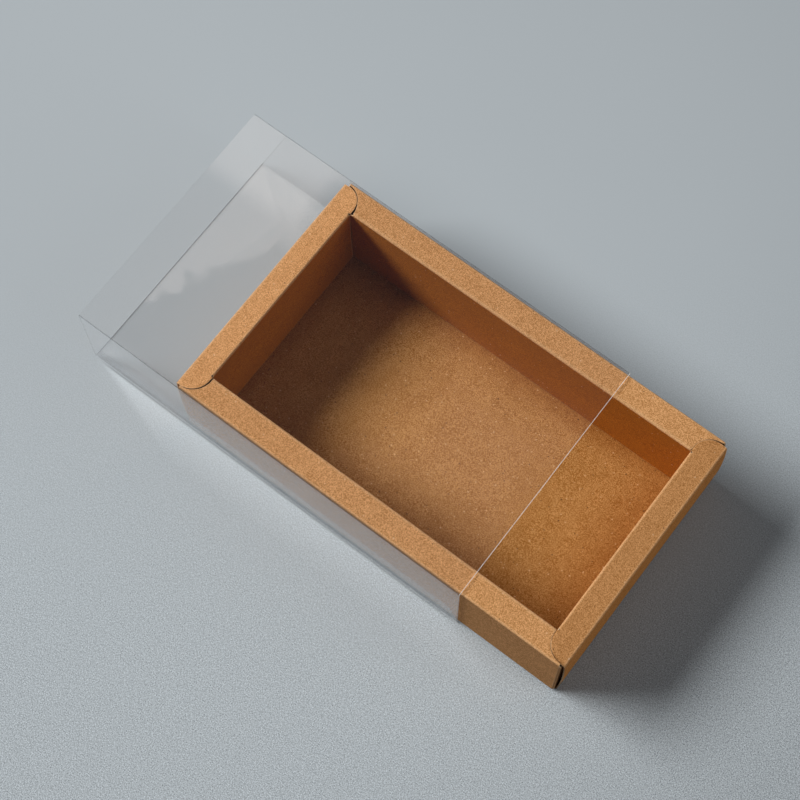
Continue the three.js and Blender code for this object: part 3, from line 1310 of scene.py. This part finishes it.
        def columns(station: Station) -> list[float]:
            """The columns on one station, in growing order.

            Args:
                station: The station.

            Returns:
                The places along it.
            """
            reach = max(station.reach, root + self.least_length)
            shoulder = max(reach - card.shoulder, root + (reach - root) * card.wing_share)
            places = [root, *spaced(root, shoulder, card.wing_steps)[1:], reach]
            return places if sign > 0 else [-p for p in reversed(places)]
        return columns

    def finish(self, middle: Vector, skins: Sequence[bpy.types.Material]) -> bpy.types.Object:
        """Gives the sheet its thickness and puts it in its place in the tray."""
        return self.sheet.piece(Matrix.Translation(middle) @ self.side.turn, skins)


class LongSide(FoldedSide):
    """A long side, whose rim is cut hollow at both ends and whose outer wall has tuck flaps."""

    def __init__(self, card: TrayCard, side: Side) -> None:
        """Takes the card's sizes and which long side this is.

        Args:
            card: The sizes.
            side: The near or the far side.
        """
        half = card.width / 2
        super().__init__(card, side, (half, half, half - card.rim),
                         card.front.opening - card.core_margin)
        self.wall_reach = card.tuck_face - card.fold_radius

    def end(self, sign: int) -> EndFit:
        """The end of the tray that the side meets towards +1 or -1."""
        at_front = (self.side is Side.NEAR) == (sign > 0)
        return self.card.front if at_front else self.card.back

    def gap(self, sign: int) -> tuple[float, float]:
        """The knife cut at that end, at the crease and at the opening."""
        end = self.end(sign)
        return end.near_gap if self.side is Side.NEAR else end.far_gap

    def rim(self, sign: int) -> list[Station]:
        """Stations over the rim, whose hollow end follows the ear one knife cut away.

        Args:
            sign: 1 or -1, the end of the side.

        Returns:
            The stations, from the outer fold in.
        """
        card = self.card
        along, across = card.ear_centre(self.end(sign))
        at_crease, at_opening = self.gap(sign)
        stations = []
        for angle in spaced(card.hollow_angle, 0.0, card.hollow_steps):
            rise = (card.ear_radius + card.hollow_rise) * math.sin(math.radians(angle))
            share = min(rise / card.ear_radius / card.hollow_share, 1.0)
            radius = card.ear_radius + at_opening + (at_crease - at_opening) * share
            hollow = math.sqrt(max(radius ** 2 - rise ** 2, 0.0))
            stations.append(Station(across + rise, card.height, along - hollow))
        return stations

    def build(self) -> None:
        """Lays all patches of the side."""
        card = self.card
        outer = self.outer(self.wall_reach, 0.0)
        for sign in (1, -1):
            end = self.end(sign)
            inner = self.inner(end.opening - self.gap(sign)[1], end.opening + card.inner_lap)
            rows = outer + self.rim(sign) + inner
            self.lay(rows, self.wing_columns(self.core, sign))
        self.lay(rows, self.core_columns)
        self.lay(self.foot(rows[-1]), self.core_columns)
        wall = outer[card.fold_steps + 1:-card.fold_steps - 1]
        for sign in (1, -1):
            self.tuck(wall, sign)

    def tuck(self, wall: Sequence[Station], sign: int) -> None:
        """Adds one tuck flap: an upright fold at the wall's end and the flap behind the end.

        Args:
            wall: The stations of the outer wall.
            sign: 1 or -1, the end of the wall.
        """
        card = self.card
        centre = self.half_depth - card.fold_radius
        free = self.half_depth - card.tuck_length
        rows = []
        for station in wall:
            margin = min(station.up, card.height - station.up) - card.thickness - card.tuck_gap
            trim = max(0.0, card.tuck_taper - margin)
            sink = (card.rim_drop + card.thickness) * station.up / card.height
            row = [(station.out, self.wall_reach, station.up, 1.0)]
            for angle in spaced(90.0, 0.0, card.fold_steps)[1:]:
                turn = math.radians(angle)
                row.append((centre + card.fold_radius * math.sin(turn),
                            self.wall_reach + card.fold_radius * math.cos(turn),
                            station.up - sink * (1.0 - math.sin(turn)), 1.0))
            for out in spaced(centre - card.shoulder, free + trim, card.tuck_steps):
                row.append((out, card.tuck_face, station.up - sink, 0.0))
            points = [(Vector((out, sign * along, up)), {Mark.FOLD: fold})
                      for out, along, up, fold in row]
            rows.append(points if sign > 0 else points[::-1])
        self.sheet.patch(rows)


class EndSide(FoldedSide):
    """An end, with a bowed outer wall and a rim that finishes in a rounded ear at both sides."""

    def __init__(self, card: TrayCard, side: Side) -> None:
        """Takes the card's sizes and which end this is.

        Args:
            card: The sizes.
            side: The front or the back.
        """
        self.end = card.front if side is Side.FRONT else card.back
        super().__init__(card, side, (card.length / 2, self.end.crease, self.end.opening),
                         card.width / 2 - card.rim - card.knife_gap, card.rim_drop)
        self.tone_shares = (self.end.wall_shade_share, self.end.rim_shade_share)

    def ear_reach(self, out: float) -> float:
        """How far the ear reaches across at this distance out.

        Args:
            out: The distance outward from the middle of the tray.

        Returns:
            The distance from the middle, across the tray.
        """
        card = self.card
        along, across = card.ear_centre(self.end)
        back = along - out
        if back <= 0.0:
            return card.ear_edge
        return across + math.sqrt(max(card.ear_radius ** 2 - back ** 2, 0.0))

    def on_rim(self, out: float) -> Station:
        """The station on the rim at this distance out.

        Args:
            out: The distance outward from the middle of the tray.

        Returns:
            The station.
        """
        card = self.card
        slack = (self.crease - card.fold_radius - out) / (card.rim / 2)
        return Station(out, self.rim_height(out), self.ear_reach(out),
                       lift=self.end.lift * kept(slack))

    def ear_stations(self, angles: Iterable[float]) -> list[Station]:
        """Stations over the rim at these angles round the ear, from its edge to its side.

        Args:
            angles: The angles, in degrees.

        Returns:
            The stations, in the same order.
        """
        along = self.card.ear_centre(self.end)[0]
        return [self.on_rim(along - self.card.ear_radius * math.cos(math.radians(a)))
                for a in angles]

    def build(self) -> None:
        """Lays all patches of the end."""
        card = self.card
        crease = self.crease - card.fold_radius
        along = card.ear_centre(self.end)[0]
        fold_line = self.opening + card.fold_radius
        root_angle = math.degrees(math.acos((along - fold_line) / card.ear_radius))
        rim = [
            self.on_rim(crease - card.shoulder),
            self.on_rim((crease - card.shoulder + along) / 2),
            *self.ear_stations(spaced(90.0, root_angle, card.ear_steps)),
        ]
        outer = self.outer(card.ear_edge, card.end_bow)
        tips = self.ear_stations(spaced(root_angle, 0.0, card.tip_steps))
        notch = card.half_opening
        inner = self.inner(self.core, notch - card.inner_ease)
        self.lay(outer + rim + inner[:1], self.core_columns)
        self.lay(inner, self.wall_columns)
        self.lay(self.foot(inner[-1]), self.core_columns)
        for sign in (1, -1):
            strip = sorted((sign * self.core, sign * notch))
            self.lay(outer + rim, lambda station, strip=strip: strip)
            self.lay(outer + rim, self.wing_columns(notch, sign))
            self.lay(tips, self.wing_columns(notch, sign))


@dataclass
class Tray:
    """The kraft card drawer tray."""

    card: TrayCard = field(default_factory=TrayCard)
    print_side: KraftCard = KraftCard(
        name="kraft_card",
        colour=(0.575, 0.283, 0.105),
        # The colour of the painted shade on the faces inside the tray.
        inside_shade_colour=(0.41, 0.133, 0.009),
        cut_colour=(0.80, 0.52, 0.28),
        dark_specks=Specks((0.10, 0.045, 0.02), 0.75, spacing=0.0026, radius=0.00028, offset=0.0),
        pale_flecks=Specks((0.82, 0.58, 0.36), 0.55, spacing=0.0022, radius=0.00030, offset=3.7),
    )
    reverse_side: KraftCard = KraftCard(
        name="kraft_card_reverse",
        colour=(0.465, 0.215, 0.056),
        # The colour of the painted shade on the base next to the inner walls.
        inside_shade_colour=(0.345, 0.132, 0.024),
        cut_colour=(0.62, 0.33, 0.14),
        dark_specks=Specks((0.06, 0.025, 0.012), 0.75, spacing=0.0019, radius=0.00029, offset=1.3),
        pale_flecks=Specks((0.85, 0.58, 0.30), 0.55, spacing=0.0016, radius=0.00030, offset=5.1,
                           filled_share=0.6),
        deep_tone=(0.68, 0.54, 0.22),
        pale_tone=(1.32, 1.46, 1.78),
        contrast=1.2,
        cloud_share=0.6,
    )
    cut_edge: CutCard = CutCard("kraft_card_edge", (0.78, 0.54, 0.32))

    def middle(self) -> Vector:
        """The middle of the tray's underside at rest, in millimetres.

        Returns:
            The point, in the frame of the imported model.
        """
        low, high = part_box("tray_base")
        centre = (low + high) / 2 / MILLIMETRE
        return Vector((centre.x, centre.y, low.z / MILLIMETRE))

    def build(self) -> list[bpy.types.Object]:
        """Builds and dresses every sheet of the tray.

        Returns:
            The pieces.
        """
        skins = [self.print_side.material(), self.cut_edge.material(),
                 self.reverse_side.material()]
        middle = self.middle()
        pieces = []
        for side in Side:
            kind = LongSide if side in (Side.FAR, Side.NEAR) else EndSide
            folded = kind(self.card, side)
            folded.build()
            piece = folded.finish(middle, skins)
            stood_for = [f"tray_{side.word}_{part}"
                         for part in ("outer_wall", "rim", "inner_wall", "foot_flap")]
            if kind is LongSide:
                stood_for += [f"tray_{end}_{side.word}_tuck_flap" for end in ("front", "back")]
            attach(piece, "tray")
            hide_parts(*stood_for)
            pieces.append(piece)
        pieces.append(self.base(middle, skins))
        return pieces

    def swell(self, x: float, y: float) -> float:
        """How far the base stands up between the inner walls, where the folded board lifts it.

        Args:
            x: The place along the tray.
            y: The place across it.

        Returns:
            The height above the flat base.
        """
        card = self.card
        along = min(abs(x) / card.front.opening, 1.0) ** card.swell_power
        across = min(abs(y) / card.half_opening, 1.0) ** card.swell_power
        return card.base_swell * (1.0 - along) * (1.0 - across)

    def darker(self, x: float, y: float) -> float:
        """The share of painted shade, in the deeper colour, that the base takes on next to the
        inner walls.

        Args:
            x: The place along the tray.
            y: The place across it.

        Returns:
            The share, from 0 to 1.
        """
        card = self.card
        half = card.half_opening
        gap = min((card.front.opening - x) / card.front_margin,
                  (card.back.opening + x) / card.back_margin,
                  (half - y) / card.far_margin, (half + y) / card.near_margin)
        return kept(1.0 - gap) ** card.margin_power

    def base(self, middle: Vector, skins: Sequence[bpy.types.Material]) -> bpy.types.Object:
        """Builds the base, whose visible face is the reverse of the board.

        Args:
            middle: The middle of the tray's underside.
            skins: The materials of the outer face, the cut edge and the reverse.

        Returns:
            The piece.
        """
        card = self.card
        half_x = card.length / 2 - card.fold_radius
        half_y = card.width / 2 - card.fold_radius
        steps_x, steps_y = card.base_steps
        sheet = CardSheet("tray_base_sheet", card.thickness)
        rows = []
        for x in spaced(-half_x, half_x, steps_x):
            # The base takes its painted shade next to the inner walls through the inside mark.
            rows.append([(Vector((x, y, self.swell(x, y))), {Mark.INSIDE: self.darker(x, y)})
                         for y in spaced(-half_y, half_y, steps_y)])
        sheet.patch(rows)
        piece = sheet.piece(Matrix.Translation(middle), skins)
        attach(piece, "tray")
        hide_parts("tray_base")
        return piece


# The sleeve

@dataclass
class Sleeve:
    """The clear sleeve, wrapped from one creased sheet and glued along one side.

    Attributes:
        flap_taper: How far the flap's ends are drawn in at its free edge.
        flap_zone: The depth, in from the near side's middle, in which the flap's skin lies.
        flap_slack: How far past the flap's height its free edge may still lie.
        cut_band: The width of the cut edge's own faces at both open ends.
        side_shares: How many thicknesses in the near side's edge and the bottom's edge reach.
        row_spacing: The distance between the points along a flat side of the section.
        merge_gap: Points that are closer than this become one, in metres.
    """

    length: float = 170.6
    width: float = 101.5
    height: float = 41.05
    thickness: float = 0.3
    fold_radius: float = 0.35
    flap_height: float = 12.0
    flap_taper: float = 4.0
    flap_zone: float = 0.4
    flap_slack: float = 0.01
    glue_gap: float = 0.02
    cut_band: float = 0.22
    side_shares: tuple[float, float] = (1.2, 2.0)
    fold_steps: int = 6
    row_spacing: float = 5.0
    rows: int = 40
    merge_gap: float = 0.000001
    sheet: ClearSheet = ClearSheet(
        name="clear_sheet",
        tint=(0.99, 0.98, 0.985),
        straight_share=0.034,
        slant_share=0.78,
        haze_share=0.001,
        roughness=0.035,
        twist=math.tan(math.radians(3.1)),
    )
    # Painted highlight: the front cut edge of the film is pale, as if lit.
    highlit_front_edge: HazyEdge = HazyEdge("clear_sheet_front_edge_highlight", (0.92, 0.92, 0.90), 0.34)
    # Painted shade: the film's cut edges at the back end are dark grey, as if in shade.
    shaded_back_edge: HazyEdge = HazyEdge("clear_sheet_back_edge_shade", (0.20, 0.21, 0.22), 0.34)
    shaded_side_edge: HazyEdge = HazyEdge("clear_sheet_side_edge_shade", (0.20, 0.21, 0.22), 0.11)
    # Painted shade: the film's creases are a dark grey line, where the folded film looks dark.
    crease: HazyEdge = HazyEdge("clear_sheet_crease_shade", (0.09, 0.095, 0.10), 0.32, 0.25)

    def section(self) -> bpy.types.Mesh:
        """The corner points of the sheet's outer skin, seen from the end.

        Returns:
            A mesh of edges, across the sleeve in X and up in Y, in metres.
        """
        half = self.width / 2
        inner = half - self.thickness - self.glue_gap
        corners = [
            (-half, self.thickness), (-half, self.height), (half, self.height),
            (half, 0.0), (-inner, 0.0), (-inner, self.flap_height),
        ]
        mesh = bpy.data.meshes.new("clear_sleeve")
        points = [(y * MILLIMETRE, z * MILLIMETRE, 0.0) for y, z in corners]
        mesh.from_pydata(points, [(i, i + 1) for i in range(len(points) - 1)], [])
        return mesh

    def inputs(self) -> dict[str, tuple[str, Union[Number, bpy.types.Material]]]:
        """The inputs of the tree.

        Returns:
            The type of the socket and the value, by the input's name.
        """
        lengths = {
            "Length": self.length, "Fold Radius": self.fold_radius,
            "Row Spacing": self.row_spacing, "Sheet Thickness": self.thickness,
            "Flap Height": self.flap_height, "Flap Taper": self.flap_taper,
            "Cut Band": self.cut_band,
        }
        counts = {"Fold Steps": self.fold_steps, "Rows": self.rows}
        finishes = {
            "Sheet": self.sheet, "Front Edge": self.highlit_front_edge, "Back Edge": self.shaded_back_edge,
            "Side Edge": self.shaded_side_edge, "Crease": self.crease,
        }
        return {
            **{name: ("NodeSocketFloat", size * MILLIMETRE) for name, size in lengths.items()},
            **{name: ("NodeSocketInt", count) for name, count in counts.items()},
            **{name: ("NodeSocketMaterial", finish.material())
               for name, finish in finishes.items()},
        }

    def tree(self, kinds: dict[str, str]) -> bpy.types.NodeTree:
        """Builds the tree that rounds the folds, runs the section along the sleeve, tapers
        the glue flap and gives the sheet its thickness.

        Args:
            kinds: The type of each input's socket, by its name.

        Returns:
            The geometry node tree.
        """
        tree = bpy.data.node_groups.new("wrapped_sheet", "GeometryNodeTree")
        face = tree.interface
        for name, kind in {"Geometry": "NodeSocketGeometry", **kinds}.items():
            face.new_socket(name, in_out="INPUT", socket_type=kind)
        face.new_socket("Geometry", in_out="OUTPUT", socket_type="NodeSocketGeometry")
        graph = Graph(tree)
        sizes = graph.node("NodeGroupInput")
        size = {s.name: Wire(graph, s) for s in sizes.outputs if s.name}
        section = self.rounded_section(graph, size)
        path = self.stretched_path(graph, size)
        sweep = graph.wire("GeometryNodeCurveToMesh", {},
                           {"Curve": path, "Profile Curve": section})
        outward = graph.wire("GeometryNodeFlipFaces", {}, {"Mesh": sweep})
        tapered = self.tapered_flap(graph, size, outward)
        solid = self.thickened(graph, size, tapered)
        single = graph.wire("GeometryNodeRealizeInstances", {}, {"Geometry": solid})
        graph.node("NodeGroupOutput", {}, {"Geometry": self.dressed(graph, size, single)})
        return tree

    def rounded_section(self, graph: Graph, size: dict[str, Wire]) -> Wire:
        """The section with rounded folds and points along its flats.

        Args:
            graph: The tree that takes the nodes.
            size: The tree's inputs, by name.

        Returns:
            A curve.
        """
        line = graph.wire("GeometryNodeMeshToCurve", {}, {"Mesh": size["Geometry"]})
        rounded = graph.wire("GeometryNodeFilletCurve", {"mode": "POLY"}, {
            "Curve": line, "Radius": size["Fold Radius"], "Count": size["Fold Steps"],
        })
        steps = self.gap_to(graph, 1) / size["Row Spacing"]
        split = graph.wire("GeometryNodeSubdivideCurve", {},
                           {"Curve": rounded, "Cuts": steps.floored()})
        short = size["Fold Radius"] * 0.5
        on_fold = ((self.gap_to(graph, 1) < short) + (self.gap_to(graph, -1) < short)).clamped()
        marked = graph.wire("GeometryNodeStoreNamedAttribute",
                            {"data_type": "BOOLEAN", "domain": "POINT"},
                            {"Geometry": split, "Name": "on_fold", "Value": on_fold})
        return graph.wire("GeometryNodeTransform", {}, {
            "Geometry": marked, "Rotation": (0.0, 0.0, math.pi)})

    def gap_to(self, graph: Graph, step: int) -> Wire:
        """The distance from each point of a curve to the one this many steps on.

        Args:
            graph: The tree that takes the nodes.
            step: The number of steps.

        Returns:
            The distance, in metres.
        """
        place = graph.wire("GeometryNodeInputPosition")
        index = graph.wire("GeometryNodeInputIndex") + float(step)
        other = graph.wire("GeometryNodeFieldAtIndex",
                           {"data_type": "FLOAT_VECTOR", "domain": "POINT"},
                           {"Index": index, "Value": place})
        return graph.wire("ShaderNodeVectorMath", {"operation": "DISTANCE"},
                          {0: place, 1: other}, "Value")

    def stretched_path(self, graph: Graph, size: dict[str, Wire]) -> Wire:
        """A straight line as long as the sleeve, with a narrow first and last step.

        Args:
            graph: The tree that takes the nodes.
            size: The tree's inputs, by name.

        Returns:
            A curve.
        """
        points = graph.wire("GeometryNodeMeshLine", {"mode": "OFFSET"}, {
            "Count": size["Rows"], "Start Location": (0.0, 0.0, 0.0),
            "Offset": (1.0, 0.0, 0.0)})
        index = graph.wire("GeometryNodeInputIndex")
        share = ((index - 1.0) / (size["Rows"] - 3.0)).clamped()
        inner = size["Length"] - 2.0 * size["Cut Band"]
        first = index < 0.5
        last = index > size["Rows"] - 1.5
        along = (share - 0.5) * inner + (last - first) * size["Cut Band"]
        place = graph.wire("ShaderNodeCombineXYZ", {}, {"X": along})
        moved = graph.wire("GeometryNodeSetPosition", {},
                           {"Geometry": points, "Position": place})
        return graph.wire("GeometryNodeMeshToCurve", {}, {"Mesh": moved})

    def tapered_flap(self, graph: Graph, size: dict[str, Wire], sweep: Wire) -> Wire:
        """The swept sheet with the glue flap's ends drawn in towards its free edge.

        Args:
            graph: The tree that takes the nodes.
            size: The tree's inputs, by name.
            sweep: The swept sheet.

        Returns:
            The sheet.
        """
        x, y, z = graph.parts(graph.wire("GeometryNodeInputPosition"))
        near = (self.thickness / 2 - self.width / 2) * MILLIMETRE
        radius = size["Fold Radius"]
        rise = (z - radius) / (size["Flap Height"] - radius)
        low = z < size["Flap Height"] + self.flap_slack * MILLIMETRE
        on_flap = (y > near) * (y < near + self.flap_zone * MILLIMETRE) * low
        draw = x * rise.clamped() * size["Flap Taper"] / (size["Length"] * 0.5)
        offset = graph.wire("ShaderNodeCombineXYZ", {}, {"X": -draw})
        return graph.wire("GeometryNodeSetPosition", {},
                          {"Geometry": sweep, "Selection": on_flap, "Offset": offset})

    def thickened(self, graph: Graph, size: dict[str, Wire], skin: Wire) -> Wire:
        """The sheet with its inner skin and cut edges, closed.

        Args:
            graph: The tree that takes the nodes.
            size: The tree's inputs, by name.
            skin: Its outer skin.

        Returns:
            The closed sheet.
        """
        grown = graph.wire("GeometryNodeExtrudeMesh", {"mode": "FACES"}, {
            "Mesh": skin, "Offset Scale": -size["Sheet Thickness"], "Individual": False}, "Mesh")
        flipped = graph.wire("GeometryNodeFlipFaces", {}, {"Mesh": grown})
        join = graph.node("GeometryNodeJoinGeometry")
        for part in (flipped, skin):
            graph.tree.links.new(part.socket, join.inputs[0])
        return graph.wire("GeometryNodeMergeByDistance", {},
                          {"Geometry": Wire(graph, join.outputs[0]), "Distance": self.merge_gap})

    def dressed(self, graph: Graph, size: dict[str, Wire], bare: Wire) -> Wire:
        """The sheet with its finishes over the plain one: painted shade on its creases and its
        back cut edges, a painted highlight on its front cut edge.

        Args:
            graph: The tree that takes the nodes.
            size: The tree's inputs, by name.
            bare: The closed sheet.

        Returns:
            The sheet with its materials.
        """
        x, y, z = graph.parts(graph.wire("GeometryNodeInputPosition"))
        side, bottom = self.side_shares
        near = (self.thickness * side - self.width / 2) * MILLIMETRE
        band = size["Length"] * 0.5 - size["Cut Band"]
        at_back = x < -band
        off_seam = ((z > size["Flap Height"]) + (y < 0.0)).clamped()
        dressed = graph.wire("GeometryNodeSetMaterial", {},
                             {"Geometry": bare, "Material": size["Sheet"]})
        # Painted shade on the creases and the back cut edges, painted highlight on the front cut
        # edge.
        places = {
            "Crease": graph.flag("on_fold") * off_seam,
            "Side Edge": at_back * (y < near),
            "Back Edge": at_back * (z < size["Sheet Thickness"] * bottom),
            "Front Edge": x > band,
        }
        for name, place in places.items():
            dressed = graph.wire("GeometryNodeSetMaterial", {}, {
                "Geometry": dressed, "Selection": place, "Material": size[name]})
        return dressed

    def build(self) -> bpy.types.Object:
        """Builds and dresses the sleeve.

        Returns:
            The piece.
        """
        piece = linked("clear_sleeve", self.section())
        wrap = piece.modifiers.new("wrap", "NODES")
        inputs = self.inputs()
        wrap.node_group = self.tree({name: kind for name, (kind, _) in inputs.items()})
        for item in wrap.node_group.interface.items_tree:
            if item.in_out == "INPUT" and item.name in inputs:
                wrap[item.identifier] = inputs[item.name][1]
        settled(piece)
        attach(piece, "sleeve")
        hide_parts("sleeve_top", "sleeve_bottom", "sleeve_far_side",
                    "sleeve_near_side", "sleeve_glue_flap")
        return piece


# The studio

@dataclass(frozen=True)
class Lamp:
    """A soft oval lamp.

    Attributes:
        name: The lamp's name.
        way: The way from the point it faces to the lamp.
        distance: How far off it hangs.
        size: Its upright and level size.
        share: The share of full white light that it gives a level surface.
        mirrored: Whether shiny surfaces mirror it.
    """

    name: str
    way: tuple[float, float, float]
    distance: float
    size: tuple[float, float]
    share: float
    mirrored: bool

    def hang(self, target: Vector) -> None:
        """Adds the lamp.

        Args:
            target: The point it faces.
        """
        data = bpy.data.lights.new(self.name, "AREA")
        data.shape = "ELLIPSE"
        data.size, data.size_y = self.size
        back = Vector(self.way).normalized()
        data.energy = math.pi ** 2 * self.distance ** 2 * self.share / back.z
        lamp = linked(self.name, data)
        level = Vector((0.0, 0.0, 1.0)).cross(back).normalized()
        steep = level.cross(back)
        rows = zip(steep, level, back, target + back * self.distance)
        lamp.matrix_world = Matrix([*rows, (0.0, 0.0, 0.0, 1.0)])
        lamp.visible_camera = False
        lamp.visible_glossy = self.mirrored


@dataclass(frozen=True)
class ReflectedCard:
    """A pale card that hangs level over the table and only shows in the clear sheet.

    Attributes:
        name: The card's name.
        middle: Its place along and across.
        size: Its size along and across.
        colour: How bright it looks at its middle.
        soft_share: The share of its size over which it fades towards its edges.
        height: How high it hangs.
        layers: The number of cards, each smaller than the last, that make it fade.
        layer_gap: How far they hang apart.
    """

    name: str
    middle: tuple[float, float]
    size: tuple[float, float]
    colour: Colour
    soft_share: float
    height: float = 1.5
    layers: int = 4
    layer_gap: float = 0.004

    def hang(self) -> None:
        """Adds the card."""
        for layer in range(self.layers):
            fade = 1.0 - self.soft_share * layer / self.layers
            data = bpy.data.lights.new(self.name, "AREA")
            data.shape = "RECTANGLE"
            data.size, data.size_y = (side * fade for side in self.size)
            data.color = self.colour
            data.energy = math.pi * data.size * data.size_y / self.layers
            card = linked(self.name, data)
            card.location = (*self.middle, self.height + layer * self.layer_gap)
            card.visible_camera = False
            card.visible_diffuse = False


@dataclass
class Studio:
    """Camera, floor, soft lamps and the light of the room. Places are in metres.

    Attributes:
        roll: How far the camera is turned about the way it looks, in degrees.
        lens, sensor: Its focal length and the width of its sensor, in millimetres.
        target: The point that the lamps face.
        lamps: The lamps, at a level that renders colours as they are written.
        cards: The cards that show in the clear sheet.
        mirrored: What shiny surfaces see of the room.
    """

    eye: tuple[float, float, float] = (0.17026, -0.18896, 0.69486)
    forward: tuple[float, float, float] = (-0.20748, 0.26269, -0.94231)
    roll: float = -1.081
    lens: float = 88.41
    sensor: float = 36.0
    target: tuple[float, float, float] = (0.04, 0.0, 0.0)
    lamps: Sequence[Lamp] = (
        Lamp("key", (-36.3, -12.2, 32.1), 3.0, (1.17, 2.07), 0.835, mirrored=True),
        Lamp("top", (0.2, 0.35, 1.2), 1.2, (0.9, 0.9), 0.054, mirrored=False),
        Lamp("side", (1.0, 0.25, 0.34), 1.5, (0.6, 1.2), 0.088, mirrored=False),
    )
    cards: Sequence[ReflectedCard] = (
        ReflectedCard("wide_card", (-0.845, 0.90), (0.65, 0.82), (1.45, 1.34, 1.24), 0.07),
        ReflectedCard("soft_card", (-0.19, 0.405), (0.25, 0.22), (0.48, 0.32, 0.32), 0.8),
    )
    fill: Colour = (0.010, 0.013, 0.020)
    mirrored: Colour = (0.15, 0.125, 0.125)
    floor: StudioFloor = field(default_factory=StudioFloor)

    def camera(self) -> None:
        """Places the camera as the photograph was taken."""
        forward = Vector(self.forward).normalized()
        level = forward.cross(Vector((0.0, 0.0, 1.0))).normalized()
        upright = level.cross(forward)
        turn = math.radians(self.roll)
        right = level * math.cos(turn) + upright * math.sin(turn)
        up = right.cross(forward)
        data = bpy.data.cameras.new("camera")
        data.lens = self.lens
        data.sensor_width = self.sensor
        camera = linked("camera", data)
        rows = zip(right, up, -forward, Vector(self.eye))
        camera.matrix_world = Matrix([*rows, (0.0, 0.0, 0.0, 1.0)])
        bpy.context.scene.camera = camera

    def lights(self) -> None:
        """Hangs the lamps and the cards."""
        for lamp in self.lamps:
            lamp.hang(Vector(self.target))
        for card in self.cards:
            card.hang()

    def room(self) -> None:
        """Sets the light of the room."""
        world = bpy.data.worlds.new("room")
        world.use_nodes = True
        bpy.context.scene.world = world
        graph = Graph(world.node_tree)
        camera, glossy = graph.rays("Camera", "Glossy")
        colour = graph.mix(glossy, graph.mix(camera, self.fill, self.floor.colour),
                           self.mirrored)
        shader = graph.wire("ShaderNodeBackground", {}, {"Color": colour, "Strength": 1.0})
        graph.node("ShaderNodeOutputWorld", {}, {"Surface": shader})

    def ground(self) -> None:
        """Lays the floor."""
        half = self.floor.half_size
        low = -self.floor.below
        corners = [(-half, -half, low), (half, -half, low), (half, half, low), (-half, half, low)]
        mesh = bpy.data.meshes.new("floor")
        mesh.from_pydata(corners, [], [(0, 1, 2, 3)])
        mesh.materials.append(self.floor.material())
        linked("floor", mesh)

    def build(self) -> None:
        """Sets the whole studio."""
        bpy.context.scene.view_settings.view_transform = "Standard"
        self.camera()
        self.lights()
        self.room()
        self.ground()


def report(piece: bpy.types.Object) -> None:
    """Logs a piece's name and size.

    Args:
        piece: The piece.
    """
    size = piece.dimensions / MILLIMETRE
    triangles = sum(len(p.vertices) - 2 for p in piece.data.polygons)
    log.info("%s: %.1f x %.1f x %.1f mm, %d triangles", piece.name, *size, triangles)


def main() -> None:
    """Builds the studio, the tray and the sleeve, and reports each piece."""
    logging.basicConfig(level=logging.INFO, format="%(message)s")
    Studio().build()
    for piece in Tray().build():
        report(piece)
    report(Sleeve().build())


if __name__ == "__main__":
    main()
